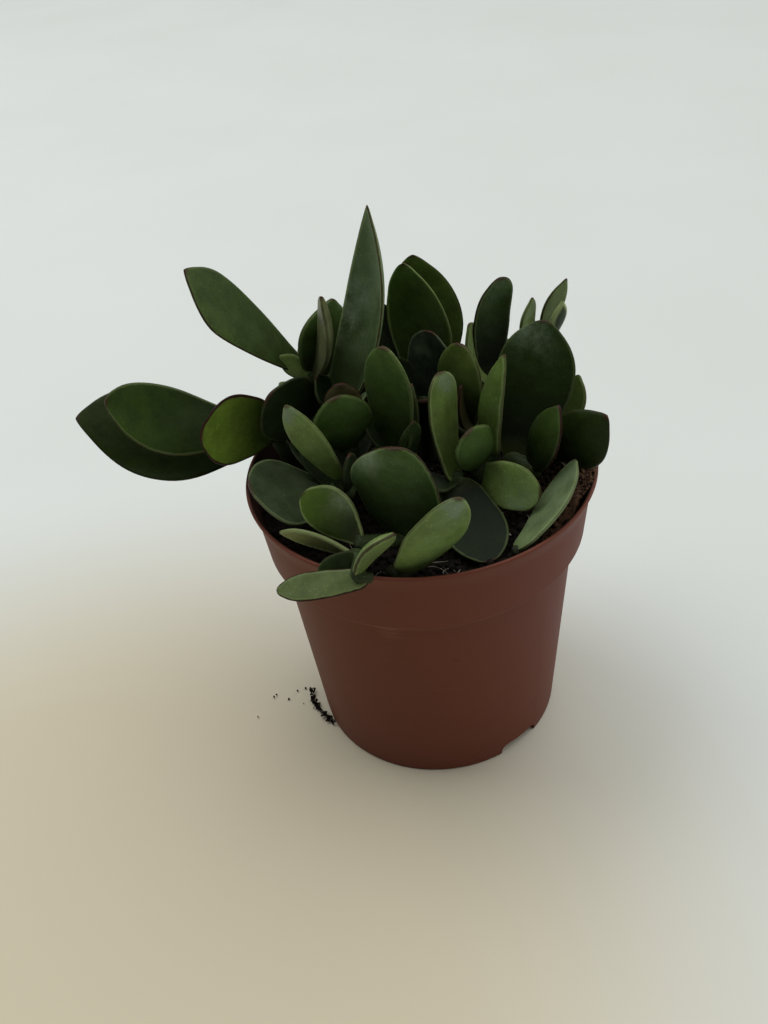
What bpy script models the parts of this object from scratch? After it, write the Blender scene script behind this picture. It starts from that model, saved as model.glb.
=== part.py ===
"""Potted crassula: a clump of leafy succulent shoots in a round nursery pot.

The origin is the middle of the pot's underside, +Z is up, and the front is -Y.
Sizes below are in millimetres and degrees, and become metres where a mesh is made.
"""
from math import cos, pi, radians, sin

import bmesh
import bpy
from mathutils import Vector

MM = 0.001

# Pot
POT_HEIGHT = 94.0
RIM_RADIUS = 52.5
COLLAR_FOOT_RADIUS = 48.8
BODY_TOP_RADIUS = 45.7
BASE_RADIUS = 39.5
COLLAR_HEIGHT = 22.5
FLARE_HEIGHT = 5.5
FLARE_FOOT_RADIUS = 50.5
WALL = 1.3
FLOOR = 1.6
EDGE_ROUND = 0.6
POT_SIDES = 60

# Drainage notches cut through the wall at the pot's foot
NOTCH_WIDTH = 15.0
NOTCH_HEIGHT = 4.0
NOTCH_DEPTH = 5.0
NOTCH_AZIMUTHS = (-54.0, 66.0, 186.0)

# Soil
GAP = 0.3
SOIL_TOP = 86.6
SOIL_RISE_RIGHT = 2.6
SOIL_BUMP = 0.5
SOIL_SIDES = 44
SOIL_RINGS = (0.85, 0.65, 0.45, 0.25)

# Stems stand in plain holes in the soil
HOLE_FLOOR = 77.0
HOLE_SIDES = 16
STEM_SIDES = 10
STRAIGHT_FOOT = 2.0

# Blades: a plump lens across, an egg-shaped outline along
BLADE_STATIONS = 9
BLADE_SIDES = 6
BLADE_THICKNESS = 1.6
THICKNESS_PER_WIDTH = 0.07
UPPER_SHARE = 0.4

# Outline of each kind of leaf: width at the stem, widest place along, how drawn out the tip is, and hollow
FORMS = {
    "paddle": {"neck": 0.34, "belly": 0.58, "point": 0.35, "hollow": 0.10},
    "blunt": {"neck": 0.34, "belly": 0.58, "point": 0.0, "hollow": 0.10},
    "lance": {"neck": 0.34, "belly": 0.42, "point": 1.0, "hollow": 0.35},
}

# Each shoot: where its foot stands in the soil (x, y), its stem's radius, the joints that the stem
# climbs through (x, y, z), and its leaves. A leaf has its joint's number, its form, heading (0 is +X,
# 90 is away from the viewer), pitch above the level, roll about its own length, length, width and
# backward arch as a share of its length.
SHOOTS = {
    "shoot_left": {
        "foot": (-37, 11), "girth": 2.3,
        "joints": ((-42, 9, 104), (-42, 4, 109.5), (-40, 1, 112.5)),
        "leaves": (
            (0, "paddle", 197, 23, -34, 58, 31, 0.12),
            (1, "paddle", 202, 30, -47, 50, 22, 0.17),
            (2, "blunt", 215, 18, -88, 25, 22, 0.07),
            (0, "paddle", 110, -5, 0, 20, 14, 0.10),
        ),
    },
    "shoot_upper_left": {
        "foot": (-29, 14), "girth": 2.4,
        "joints": ((-30, 11, 99), (-30, 7.5, 110), (-28, 14, 116), (-29, 14, 120), (-28, 10, 121)),
        "leaves": (
            (0, "blunt", 262, 8, -40, 18, 15, 0.05),
            (0, "paddle", 120, 5, 0, 20, 13, 0.10),
            (2, "paddle", 20, 18, -30, 12, 11, 0.05),
            (1, "blunt", 233, 52, -105, 26, 18, 0.03),
            (2, "paddle", 30, 71, -68, 26, 22, 0.02),
            (3, "paddle", 190, 53, -45, 49, 17, 0.05),
            (4, "paddle", 219, 48, -63, 17, 9, 0.05),
            (4, "paddle", 297, 69, 79, 33, 14, 0.07),
        ),
    },
    "shoot_tall": {
        "foot": (-20, -2), "girth": 2.6,
        "joints": ((-20, -4, 97), (-20, -7, 107), (-20, -3, 111), (-22, 3, 114)),
        "leaves": (
            (0, "paddle", 8, 22, 0, 18, 12, 0.08),
            (0, "paddle", 85, 30, 0, 20, 13, 0.08),
            (1, "blunt", 240, 64, 45, 23, 15, 0.15),
            (2, "blunt", 263, 82, 8, 16, 11, 0.05),
            (3, "lance", 9, 76, 20, 60, 20, 0.11),
        ),
    },
    "shoot_back_centre": {
        "foot": (4, 12), "girth": 2.6,
        "joints": ((4, 11, 102), (4.5, 13, 107)),
        "leaves": (
            (1, "paddle", 91, 73, -27, 43, 24, 0.13),
            (1, "paddle", 114, 79, -64, 42, 22, 0.14),
            (0, "blunt", 72, 88, -27, 29, 18, 0.08),
            (0, "paddle", 165, 55, -50, 24, 14, 0.10),
        ),
    },
    "shoot_centre": {
        "foot": (-6, -12), "girth": 2.4,
        "joints": ((-4, -14, 101), (-5, -11, 105), (-7.5, -13, 108)),
        "leaves": (
            (0, "paddle", 297, 75, -172, 20, 8, 0.06),
            (1, "paddle", 21, 79, -5, 22, 10, 0.07),
            (2, "blunt", 153, 88, -104, 34, 16, 0.03),
        ),
    },
    "shoot_centre_right": {
        "foot": (9, -15), "girth": 2.4,
        "joints": ((8, -17, 98), (10, -12, 101)),
        "leaves": (
            (0, "blunt", 94, 82, 46, 34, 15, 0.06),
            (0, "blunt", 288, -14, 0, 27, 20, 0.07),
        ),
    },
    "shoot_inner_right": {
        "foot": (16, 1), "girth": 2.2,
        "joints": ((16, -2.5, 102), (16, 1.5, 104)),
        "leaves": (
            (1, "blunt", 171, 86, 51, 28, 17, 0.11),
            (0, "paddle", 205, 81, -51, 19, 9, 0.05),
            (0, "paddle", 195, 5, 6, 14, 10, 0.08),
        ),
    },
    "shoot_right": {
        "foot": (18, -10), "girth": 2.4,
        "joints": ((18.5, -12, 98.5), (18, -11, 101), (19, -15, 104)),
        "leaves": (
            (0, "blunt", 301, 4, 70, 23, 13, -0.16),
            (1, "blunt", 229, 58, 75, 20, 12, 0.15),
            (2, "paddle", 2, 81, -170, 33, 13, 0.09),
        ),
    },
    "shoot_big_leaf": {
        "foot": (28, -10), "girth": 2.6,
        "joints": ((26, -10, 97.8), (31, -17, 99)),
        "leaves": (
            (0, "paddle", 52, 59, 2, 41, 27, 0.08),
            (1, "paddle", 1, 74, -160, 22, 13, 0.05),
        ),
    },
    "shoot_far_right": {
        "foot": (41, -3), "girth": 2.2,
        "joints": ((41, -5, 95), (42, -1, 98)),
        "leaves": (
            (0, "blunt", 299, 47, -84, 27, 16, 0.16),
            (1, "paddle", 37, 64, -31, 21, 12, 0.08),
        ),
    },
    "shoot_back_right": {
        "foot": (38, 18), "girth": 2.2,
        "joints": ((37, 19, 116.5), (41, 20, 117), (42, 17, 121)),
        "leaves": (
            (0, "paddle", 283, 85, -139, 18, 10, 0.09),
            (1, "paddle", 22, 68, 105, 22, 12, 0.08),
            (2, "paddle", 322, 72, -14, 14, 7, 0.06),
        ),
    },
    "shoot_back_inner": {
        "foot": (25, 20), "girth": 2.4,
        "joints": ((25, 21, 107),),
        "leaves": (
            (0, "blunt", 319, 80, -114, 35, 16, 0.14),
            (0, "paddle", 217, 64, -59, 22, 11, 0.10),
        ),
    },
    "shoot_front_left": {
        "foot": (-23, -15), "girth": 2.4,
        "joints": ((-25, -15, 98), (-22, -20, 101), (-23, -18, 104)),
        "leaves": (
            (0, "blunt", 203, 26, -22, 27, 24, 0.10),
            (1, "blunt", 309, 77, 23, 14, 9, 0.06),
            (2, "paddle", 203, 67, 40, 31, 12, 0.05),
            (0, "blunt", 163, 49, -50, 25, 14, 0.08),
        ),
    },
    "shoot_front": {
        "foot": (-12, -41), "girth": 2.0,
        "joints": ((-10, -44, 91), (-14, -39, 95), (-19, -43, 101)),
        "leaves": (
            (0, "blunt", 338, 56, -54, 32, 16, 0.10),
            (1, "blunt", 5, 72, 44, 32, 26, 0.02),
            (2, "blunt", 145, 32, -79, 21, 17, 0.11),
        ),
    },
    "shoot_rim": {
        "foot": (-20, -38), "girth": 2.0,
        "joints": ((-22, -43, 97), (-20.5, -48, 98.5), (-19, -51, 98)),
        "leaves": (
            (0, "paddle", 147, 4, -102, 22, 9, 0.05),
            (2, "paddle", 182, -2, 12, 23, 13, 0.01),
            (1, "paddle", 338, 49, 137, 18, 10, 0.14),
            (1, "blunt", 225, 30, -122, 15, 13, -0.02),
        ),
    },
    "shoot_back_left": {
        "foot": (-19, 31), "girth": 2.4,
        "joints": ((-19, 32, 96), (-19, 33, 102)),
        "leaves": (
            (0, "paddle", 155, 14, 10, 30, 17, 0.10),
            (0, "paddle", 85, 16, 0, 30, 18, 0.10),
            (1, "paddle", 120, 22, 0, 26, 16, 0.08),
            (1, "blunt", 330, 30, 0, 13, 11, 0.06),
        ),
    },
    "shoot_back": {
        "foot": (8, 34), "girth": 2.4,
        "joints": ((7, 35, 97), (4, 37, 107)),
        "leaves": (
            (0, "paddle", 15, 14, 10, 17, 12, 0.10),
            (0, "paddle", 95, 16, 0, 28, 17, 0.10),
            (1, "paddle", 100, 45, 0, 28, 17, 0.08),
            (1, "blunt", 330, 35, 0, 16, 12, 0.06),
        ),
    },
    "shoot_back_far_right": {
        "foot": (30, 32), "girth": 2.2,
        "joints": ((30, 33, 97), (31, 34, 103)),
        "leaves": (
            (0, "paddle", 345, 12, 0, 25, 15, 0.10),
            (0, "paddle", 78, 16, 0, 26, 16, 0.10),
            (1, "paddle", 40, 24, 0, 24, 14, 0.08),
            (1, "blunt", 160, 22, 0, 15, 11, 0.06),
        ),
    },
    "shoot_middle": {
        "foot": (-8, 20), "girth": 2.4,
        "joints": ((-8, 21, 98), (-8, 22, 109)),
        "leaves": (
            (0, "paddle", 215, 14, 0, 14, 11, 0.08),
            (0, "paddle", 10, 25, 10, 15, 11, 0.08),
            (1, "paddle", 110, 50, 0, 26, 15, 0.08),
        ),
    },
    "shoot_front_right": {
        "foot": (22, -40), "girth": 2.0,
        "joints": ((22, -42, 92),),
        "leaves": (
            (0, "paddle", 46, 24, -37, 30, 13, 0.06),
        ),
    },
}


def metres(x, y, z):
    """A point given in millimetres, as Blender's metres."""
    return Vector((x * MM, y * MM, z * MM))


def rounded(t):
    """A smooth step from 0 to 1."""
    t = min(max(t, 0.0), 1.0)
    return t * t * (3 - 2 * t)


def painted(name, colour, roughness):
    """A plain Principled material."""
    paint = bpy.data.materials.new(name)
    paint.use_nodes = True
    shader = paint.node_tree.nodes["Principled BSDF"]
    shader.inputs["Base Color"].default_value = (*colour, 1.0)
    shader.inputs["Roughness"].default_value = roughness
    shader.inputs["Metallic"].default_value = 0.0
    return paint


def add_object(name, body, paint=None):
    """Turns a bmesh into a named, smooth-shaded object."""
    bmesh.ops.recalc_face_normals(body, faces=body.faces)
    mesh = bpy.data.meshes.new(name)
    body.to_mesh(mesh)
    body.free()
    mesh.shade_smooth()
    mesh.set_sharp_from_angle(angle=radians(40))
    if paint:
        mesh.materials.append(paint)
    thing = bpy.data.objects.new(name, mesh)
    bpy.context.scene.collection.objects.link(thing)
    return thing


def solved(thing):
    """The mesh that an object's modifiers give."""
    seen = thing.evaluated_get(bpy.context.evaluated_depsgraph_get())
    return bpy.data.meshes.new_from_object(seen)


def is_closed(mesh):
    """True where each edge joins exactly two faces, also once cut in triangles."""
    body = bmesh.new()
    body.from_mesh(mesh)
    bmesh.ops.triangulate(body, faces=body.faces)
    closed = all(len(edge.link_faces) == 2 for edge in body.edges)
    body.free()
    return closed


def bake_boolean(target, tools, operation):
    """Applies one Boolean with a collection of tools, then removes the tools."""
    group = bpy.data.collections.new(target.name + "_tools")
    bpy.context.scene.collection.children.link(group)
    for tool in tools:
        bpy.context.scene.collection.objects.unlink(tool)
        group.objects.link(tool)
    step = target.modifiers.new("join", "BOOLEAN")
    step.operation = operation
    step.operand_type = "COLLECTION"
    step.collection = group
    mesh = solved(target)
    if not is_closed(mesh):
        step.solver = "MANIFOLD"
        mesh = solved(target)
    target.modifiers.clear()
    target.data = mesh
    for tool in tools:
        bpy.data.objects.remove(tool)
    bpy.data.collections.remove(group)


def turned(name, profile, sides, paint):
    """Turns an open profile of (radius, height) points, which starts and ends on the axis."""
    body = bmesh.new()
    points = [body.verts.new(metres(radius, 0, height)) for radius, height in profile]
    edges = [body.edges.new(pair) for pair in zip(points, points[1:])]
    bmesh.ops.spin(body, geom=points + edges, axis=(0, 0, 1), cent=(0, 0, 0),
                   steps=sides, angle=2 * pi, use_merge=True)
    bmesh.ops.remove_doubles(body, verts=body.verts, dist=0.00001)
    return add_object(name, body, paint)


def pot_outside(height):
    """The pot's outer radius at a height above its foot."""
    shoulder = POT_HEIGHT - COLLAR_HEIGHT
    flare = POT_HEIGHT - FLARE_HEIGHT
    if height < shoulder:
        return BASE_RADIUS + (BODY_TOP_RADIUS - BASE_RADIUS) * height / shoulder
    if height < flare:
        up = (height - shoulder) / (flare - shoulder)
        return COLLAR_FOOT_RADIUS + (FLARE_FOOT_RADIUS - COLLAR_FOOT_RADIUS) * up
    return FLARE_FOOT_RADIUS + (RIM_RADIUS - FLARE_FOOT_RADIUS) * (height - flare) / FLARE_HEIGHT


def pot_inside(height):
    """The pot's inner radius: the outer shape less the wall, with the step one wall higher."""
    shoulder = POT_HEIGHT - COLLAR_HEIGHT
    if shoulder <= height < shoulder + WALL:
        return BODY_TOP_RADIUS - WALL
    return pot_outside(height) - WALL


def make_pot(paint):
    """The pot, with its collar, rounded lip and drainage notches."""
    shoulder = POT_HEIGHT - COLLAR_HEIGHT
    lip_low = POT_HEIGHT - EDGE_ROUND
    ledge = shoulder + WALL
    flare = POT_HEIGHT - FLARE_HEIGHT
    profile = [
        (0, 0),
        (BASE_RADIUS - EDGE_ROUND, 0),
        (BASE_RADIUS, EDGE_ROUND),
        (BODY_TOP_RADIUS, shoulder),
        (COLLAR_FOOT_RADIUS - EDGE_ROUND, shoulder),
        (COLLAR_FOOT_RADIUS, shoulder + EDGE_ROUND),
        (FLARE_FOOT_RADIUS, flare),
        (RIM_RADIUS, lip_low),
        (RIM_RADIUS - WALL * 0.3, POT_HEIGHT),
        (RIM_RADIUS - WALL * 0.7, POT_HEIGHT),
        (RIM_RADIUS - WALL, lip_low),
        (FLARE_FOOT_RADIUS - WALL, flare),
        (pot_inside(ledge), ledge),
        (BODY_TOP_RADIUS - WALL, ledge),
        (pot_inside(FLOOR), FLOOR),
        (0, FLOOR),
    ]
    pot = turned("pot", profile, POT_SIDES, paint)
    cutters = []
    for azimuth in NOTCH_AZIMUTHS:
        block = bmesh.new()
        bmesh.ops.create_cube(block, size=1.0)
        bmesh.ops.scale(block, verts=block.verts,
                        vec=metres(NOTCH_DEPTH * 2, NOTCH_WIDTH, NOTCH_HEIGHT * 2))
        cutter = add_object("notch_cutter", block)
        cutter.rotation_euler.z = radians(azimuth)
        cutter.location = metres(BASE_RADIUS * cos(radians(azimuth)), BASE_RADIUS * sin(radians(azimuth)), 0)
        cutters.append(cutter)
    bake_boolean(pot, cutters, "DIFFERENCE")


def soil_height(x, y):
    """The soil's uneven top: it rises to the right and has soft bumps."""
    bumps = sin(x * 0.31 + 1.0) * cos(y * 0.27) + 0.6 * sin(x * 0.53 - y * 0.44)
    return SOIL_TOP + SOIL_RISE_RIGHT * x / RIM_RADIUS + SOIL_BUMP * bumps


def soil_edge(height):
    """The soil's outer radius in the collar: the collar's straight inner side less the gap."""
    up = (height - POT_HEIGHT + COLLAR_HEIGHT) / (COLLAR_HEIGHT - FLARE_HEIGHT)
    return COLLAR_FOOT_RADIUS + (FLARE_FOOT_RADIUS - COLLAR_FOOT_RADIUS) * up - WALL - GAP


def make_soil(paint):
    """The peat block, which follows the inside of the pot, with a plain hole for each stem."""
    ledge = POT_HEIGHT - COLLAR_HEIGHT + WALL
    edge = soil_edge(SOIL_TOP)
    profile = [
        (0, FLOOR + GAP),
        (pot_inside(FLOOR) - GAP, FLOOR + GAP),
        (BODY_TOP_RADIUS - WALL - GAP, ledge),
        (BODY_TOP_RADIUS - WALL - GAP, ledge + GAP),
        (soil_edge(ledge), ledge + GAP),
        (edge, SOIL_TOP),
    ]
    profile += [(edge * share, SOIL_TOP) for share in SOIL_RINGS] + [(0, SOIL_TOP)]
    soil = turned("soil", profile, SOIL_SIDES, paint)
    for vert in soil.data.vertices:
        x, y, z = (value / MM for value in vert.co)
        if z < SOIL_TOP - GAP:
            continue
        radius = (x * x + y * y) ** 0.5
        top = soil_height(x, y)
        if radius > edge - GAP:
            shrink = soil_edge(top) / radius
            x, y = x * shrink, y * shrink
        vert.co = metres(x, y, top)
    cutters = []
    for shoot in SHOOTS.values():
        x, y = shoot["foot"]
        drill = bmesh.new()
        reach = POT_HEIGHT - HOLE_FLOOR
        bmesh.ops.create_cone(drill, segments=HOLE_SIDES, cap_ends=True, depth=reach * MM,
                              radius1=(shoot["girth"] + GAP) * MM, radius2=(shoot["girth"] + GAP) * MM)
        cutter = add_object("stem_drill", drill)
        cutter.location = metres(x, y, HOLE_FLOOR + reach / 2)
        cutters.append(cutter)
    bake_boolean(soil, cutters, "DIFFERENCE")


def skinned(rings, start, end):
    """A closed body over rings of points, with a point at each end."""
    body = bmesh.new()
    loops = [[body.verts.new(point * MM) for point in ring] for ring in rings]
    for near, far in zip(loops, loops[1:]):
        for side in range(len(near)):
            after = (side + 1) % len(near)
            body.faces.new((near[side], near[after], far[after], far[side]))
    for ring, tip in ((loops[0], start), (loops[-1], end)):
        pole = body.verts.new(tip * MM)
        for side in range(len(ring)):
            body.faces.new((ring[side], ring[(side + 1) % len(ring)], pole))
    return body


def leaf_axes(heading, pitch, roll):
    """A leaf's direction, its upper face's normal and its sideways direction."""
    heading, pitch, roll = radians(heading), radians(pitch), radians(roll)
    along = Vector((cos(pitch) * cos(heading), cos(pitch) * sin(heading), sin(pitch)))
    level_up = Vector((-sin(pitch) * cos(heading), -sin(pitch) * sin(heading), cos(pitch)))
    up = level_up * cos(roll) + along.cross(level_up) * sin(roll)
    return along, up, along.cross(up)


def outline(form, t):
    """Half the width at t along the blade, as a share of the greatest half width."""
    neck, belly = form["neck"], form["belly"]
    rise = neck + (1 - neck) * rounded(t / belly) ** 0.85
    beyond = max(0.0, (t - belly) / (1 - belly))
    return rise * max(0.0, 1 - beyond ** 2.1) ** (0.5 + 0.45 * form["point"])


def make_blade(root, leaf):
    """One thick leaf, its foot sunk in the stem at the root."""
    form_name, heading, pitch, roll, length, width, arch = leaf
    form = FORMS[form_name]
    along, up, across = leaf_axes(heading, pitch, roll)
    inner = BLADE_STATIONS - 3
    stations = [0.0] + [0.06 + 0.84 * step / (inner - 1) for step in range(inner)] + [0.955, 0.988]
    rings = []
    for t in stations:
        share = outline(form, t)
        half = width / 2 * share
        thick = (BLADE_THICKNESS + THICKNESS_PER_WIDTH * width) * (1 - 0.25 * t) * share ** 0.4
        middle = root + along * (length * t) - up * (4 * t * (1 - t) * arch * length)
        ring = []
        for side in range(BLADE_SIDES):
            angle = 2 * pi * side / BLADE_SIDES
            out, lift = cos(angle), sin(angle)
            face = UPPER_SHARE if lift > 0 else 1 - UPPER_SHARE
            height = thick * face * lift + form["hollow"] * half * out * out
            ring.append(middle + across * (half * out) + up * height)
        rings.append(ring)
    return skinned(rings, root - along * 0.4, root + along * length)


def make_stem(foot, girth, joints):
    """The stem: upright in its hole, then through the joints and a little past the last."""
    x, y = foot
    surface = soil_height(x, y)
    path = [Vector((x, y, HOLE_FLOOR + GAP)), Vector((x, y, surface + STRAIGHT_FOOT))]
    path += [Vector(joint) for joint in joints]
    path.append(path[-1] + (path[-1] - path[-2]).normalized() * girth * 0.6)
    rings = []
    for index, point in enumerate(path):
        before, after = path[max(index - 1, 0)], path[min(index + 1, len(path) - 1)]
        heading = (after - before).normalized() if index > 1 else Vector((0, 0, 1))
        side = heading.cross(Vector((0, 1, 0))).normalized()
        front = heading.cross(side)
        radius = girth * (1 if index < len(path) - 1 else 0.75)
        rings.append([point + (side * cos(2 * pi * turn / STEM_SIDES) + front * sin(2 * pi * turn / STEM_SIDES))
                      * radius for turn in range(STEM_SIDES)])
    return skinned(rings, path[0], path[-1] + (path[-1] - path[-2]).normalized() * girth * 0.3)


def make_shoot(name, shoot, paint):
    """One leafy stem: the stem and its leaves, grown together in one body."""
    stem = add_object(name, make_stem(shoot["foot"], shoot["girth"], shoot["joints"]), paint)
    blades = []
    for joint, *leaf in shoot["leaves"]:
        root = Vector(shoot["joints"][joint])
        blades.append(add_object(name + "_blade", make_blade(root, leaf)))
    bake_boolean(stem, blades, "UNION")


def main():
    for thing in list(bpy.data.objects):
        bpy.data.objects.remove(thing)
    make_pot(painted("terracotta coloured polypropylene", (0.16, 0.045, 0.025), 0.45))
    make_soil(painted("dark peat", (0.012, 0.008, 0.006), 0.95))
    leaf_green = painted("waxy dark green leaf", (0.035, 0.075, 0.02), 0.4)
    for name, shoot in SHOOTS.items():
        make_shoot(name, shoot, leaf_green)


main()
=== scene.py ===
import bpy
import numpy as np
from mathutils import Matrix, Vector


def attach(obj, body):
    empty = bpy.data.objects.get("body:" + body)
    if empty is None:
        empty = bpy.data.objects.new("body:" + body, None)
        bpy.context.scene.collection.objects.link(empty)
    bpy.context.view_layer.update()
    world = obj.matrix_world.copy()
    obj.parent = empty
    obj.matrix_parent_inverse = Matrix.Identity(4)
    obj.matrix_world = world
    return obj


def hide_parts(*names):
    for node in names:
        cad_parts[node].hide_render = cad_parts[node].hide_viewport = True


mm = 0.001
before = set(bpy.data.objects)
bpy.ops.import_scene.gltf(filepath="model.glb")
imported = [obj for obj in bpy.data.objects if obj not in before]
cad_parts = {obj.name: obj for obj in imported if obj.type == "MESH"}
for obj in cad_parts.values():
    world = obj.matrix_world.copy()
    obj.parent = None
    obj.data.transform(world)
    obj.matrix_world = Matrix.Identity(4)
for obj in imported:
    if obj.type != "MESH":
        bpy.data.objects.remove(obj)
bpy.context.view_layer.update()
print("frame loaded,", len(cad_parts), "nodes")


# helpers

def linear(hexColour):
    # sRGB hex to the linear RGBA that shaders want
    parts = np.array([int(hexColour[i:i + 2], 16) / 255 for i in (1, 3, 5)])
    parts = np.where(parts <= 0.04045, parts / 12.92, ((parts + 0.055) / 1.055) ** 2.4)
    return (*parts.tolist(), 1.0)


def metres(point):
    # a point in mm, in Blender's metres
    return tuple(value * mm for value in point)


def cells(size):
    # a texture's scale for cells of that many mm: 1000 / size, to two figures
    return float(f"{1000 / size:.2g}")


def add(tree, kind, inputs=None, out=0, **settings):
    # adds a shader node of that kind, sets its properties, fills or links its inputs by name or number, and
    # returns one output; a Mix of colours has its factor at 0, its colours at 6 and 7, and its result at 2
    item = tree.nodes.new("ShaderNode" + kind)
    for key, value in settings.items():
        setattr(item, key, value)
    for key, value in (inputs or {}).items():
        if isinstance(value, bpy.types.NodeSocket):
            tree.links.new(value, item.inputs[key])
        else:
            item.inputs[key].default_value = value
    return item.outputs[out] if item.outputs else None


def newMaterial(name):
    # a material of that name with no nodes yet, and its node tree
    material = bpy.data.materials.new(name)
    material.use_nodes = True
    material.node_tree.nodes.clear()
    return material, material.node_tree


def smooth(t):
    # the smooth step 3t^2 - 2t^3, held at 0 and 1 outside
    t = np.clip(t, 0, 1)
    return t * t * (3 - 2 * t)


def meshPiece(name, points, faces, material, tints=None, values=None, flat=None):
    # points in mm, faces as lists of corners; values are named per-point numbers, flat is a per-point (u, v)
    mesh = bpy.data.meshes.new(name)
    mesh.from_pydata((points * mm).tolist(), [], faces)
    mesh.polygons.foreach_set("use_smooth", np.ones(len(mesh.polygons), bool))
    if tints is not None:
        layer = mesh.attributes.new("bodyTint", "FLOAT_COLOR", "POINT")
        opaque = np.concatenate([tints, np.ones((len(tints), 1))], 1)
        layer.data.foreach_set("color", opaque.astype(np.float32).ravel())
    for key, numbers in (values or {}).items():
        layer = mesh.attributes.new(key, "FLOAT", "POINT")
        layer.data.foreach_set("value", np.asarray(numbers, np.float32))
    if flat is not None:
        corner = np.zeros(len(mesh.loops), np.int32)
        mesh.loops.foreach_get("vertex_index", corner)
        mesh.uv_layers.new(name="bladeMap").data.foreach_set("uv", flat[corner].astype(np.float32).ravel())
    mesh.materials.append(material)
    mesh.update()
    piece = bpy.data.objects.new(name, mesh)
    bpy.context.scene.collection.objects.link(piece)
    return piece


def ringFaces(rings, sides, first):
    # quads between neighbouring rings of a tube, then a fan to the pole point that closes each end;
    # the points start at number first, ring by ring, and the two poles follow them
    ring, side = np.meshgrid(np.arange(rings - 1), np.arange(sides), indexing="ij")
    a = first + ring * sides + side
    b = first + ring * sides + (side + 1) % sides
    quads = np.stack([a, b, b + sides, a + sides], -1).reshape(-1, 4)
    side = np.arange(sides)
    after = (side + 1) % sides
    last = first + (rings - 1) * sides
    startPole = first + rings * sides
    start = np.stack([first + after, first + side, np.full(sides, startPole)], -1)
    end = np.stack([last + side, last + after, np.full(sides, startPole + 1)], -1)
    return quads.tolist() + start.tolist() + end.tolist()


def patchNoise(x, y, size, seed):
    # random heights from 0 to 1 on a square lattice of that cell size, blended smoothly between its points;
    # the lattice repeats, and the shift only moves the pattern off the axis
    across, shift = 128, (500.3, 500.7)
    lattice = np.random.default_rng(seed).random((across, across))
    u, v = x / size + shift[0], y / size + shift[1]
    i, j = np.floor(u).astype(int), np.floor(v).astype(int)
    fu, fv = smooth(u - i), smooth(v - j)
    i, j, iNext, jNext = i % across, j % across, (i + 1) % across, (j + 1) % across
    near = lattice[i, j] * (1 - fu) + lattice[iNext, j] * fu
    far = lattice[i, jNext] * (1 - fu) + lattice[iNext, jNext] * fu
    return near * (1 - fv) + far * fv


# camera and light

view = {
    "place": (-12.3, -257.08, 274.40),     # mm
    "right": (0.99327, -0.07050, -0.09187),
    "up": (0.11580, 0.60467, 0.78802),
    "lens": 36.91, "sensor": 36.0, "near": 10.0,     # mm
}
# directions and degrees, places and sizes in m, power in W
studio = {
    "key": {"from": (0.50, 0.24, 1.0), "strength": 2.4, "spread": 95, "tint": "#fffefb"},
    "top": {"at": (-1.00, 0.55, 1.9), "aim": (0, 0, 0.1), "size": 1.4, "power": 19.0, "tint": "#fbfdff"},
    "room": {"tint": "#e8eef0", "strength": 0.14},
}


def makeCamera():
    # a camera looks along its own -z, and its z is right x up
    camera = bpy.data.objects.new("camera", bpy.data.cameras.new("camera"))
    bpy.context.scene.collection.objects.link(camera)
    camera.data.lens = view["lens"]
    camera.data.sensor_width = view["sensor"]
    camera.data.clip_start = view["near"] * mm
    right, up = Vector(view["right"]).normalized(), Vector(view["up"]).normalized()
    turn = Matrix((right, up, right.cross(up))).transposed().to_4x4()
    camera.matrix_world = Matrix.Translation(Vector(view["place"]) * mm) @ turn
    bpy.context.scene.camera = camera
    bpy.context.scene.view_settings.view_transform = "Standard"


def makeLights():
    # a wide window light high on the right, a softbox high on the left, both a little behind, and a dim room
    key, top, room = studio["key"], studio["top"], studio["room"]
    sun = bpy.data.lights.new("windowKey", "SUN")
    sun.energy = key["strength"]
    sun.angle = np.radians(key["spread"])
    sun.color = linear(key["tint"])[:3]
    keyLight = bpy.data.objects.new("windowKey", sun)
    keyLight.rotation_euler = Vector(key["from"]).to_track_quat("Z", "Y").to_euler()
    bpy.context.scene.collection.objects.link(keyLight)
    soft = bpy.data.lights.new("topSoftbox", "AREA")
    soft.size = top["size"]
    soft.energy = top["power"]
    soft.color = linear(top["tint"])[:3]
    topLight = bpy.data.objects.new("topSoftbox", soft)
    topLight.location = top["at"]
    topLight.rotation_euler = (Vector(top["at"]) - Vector(top["aim"])).to_track_quat("Z", "Y").to_euler()
    bpy.context.scene.collection.objects.link(topLight)
    world = bpy.data.worlds.new("room")
    world.use_nodes = True
    background = world.node_tree.nodes["Background"]
    background.inputs["Color"].default_value = linear(room["tint"])
    background.inputs["Strength"].default_value = room["strength"]
    bpy.context.scene.world = world


makeCamera()
makeLights()
print("camera and light")


# table

table = {
    "left": -4, "right": 4, "front": -3, "back": 5,               # m
    "tints": ("#ccd0cc", "#d3d8d5"), "cloud": 143,                # mm
    # the beige tone, partly painted soft shadow: none beyond the first distance from its centre, full within
    # the second
    "beigeShade": "#c4bba3", "beigeShadeAt": (-115, -100, 0), "beigeShadeFrom": 250, "beigeShadeTo": 90,     # mm
}


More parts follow.
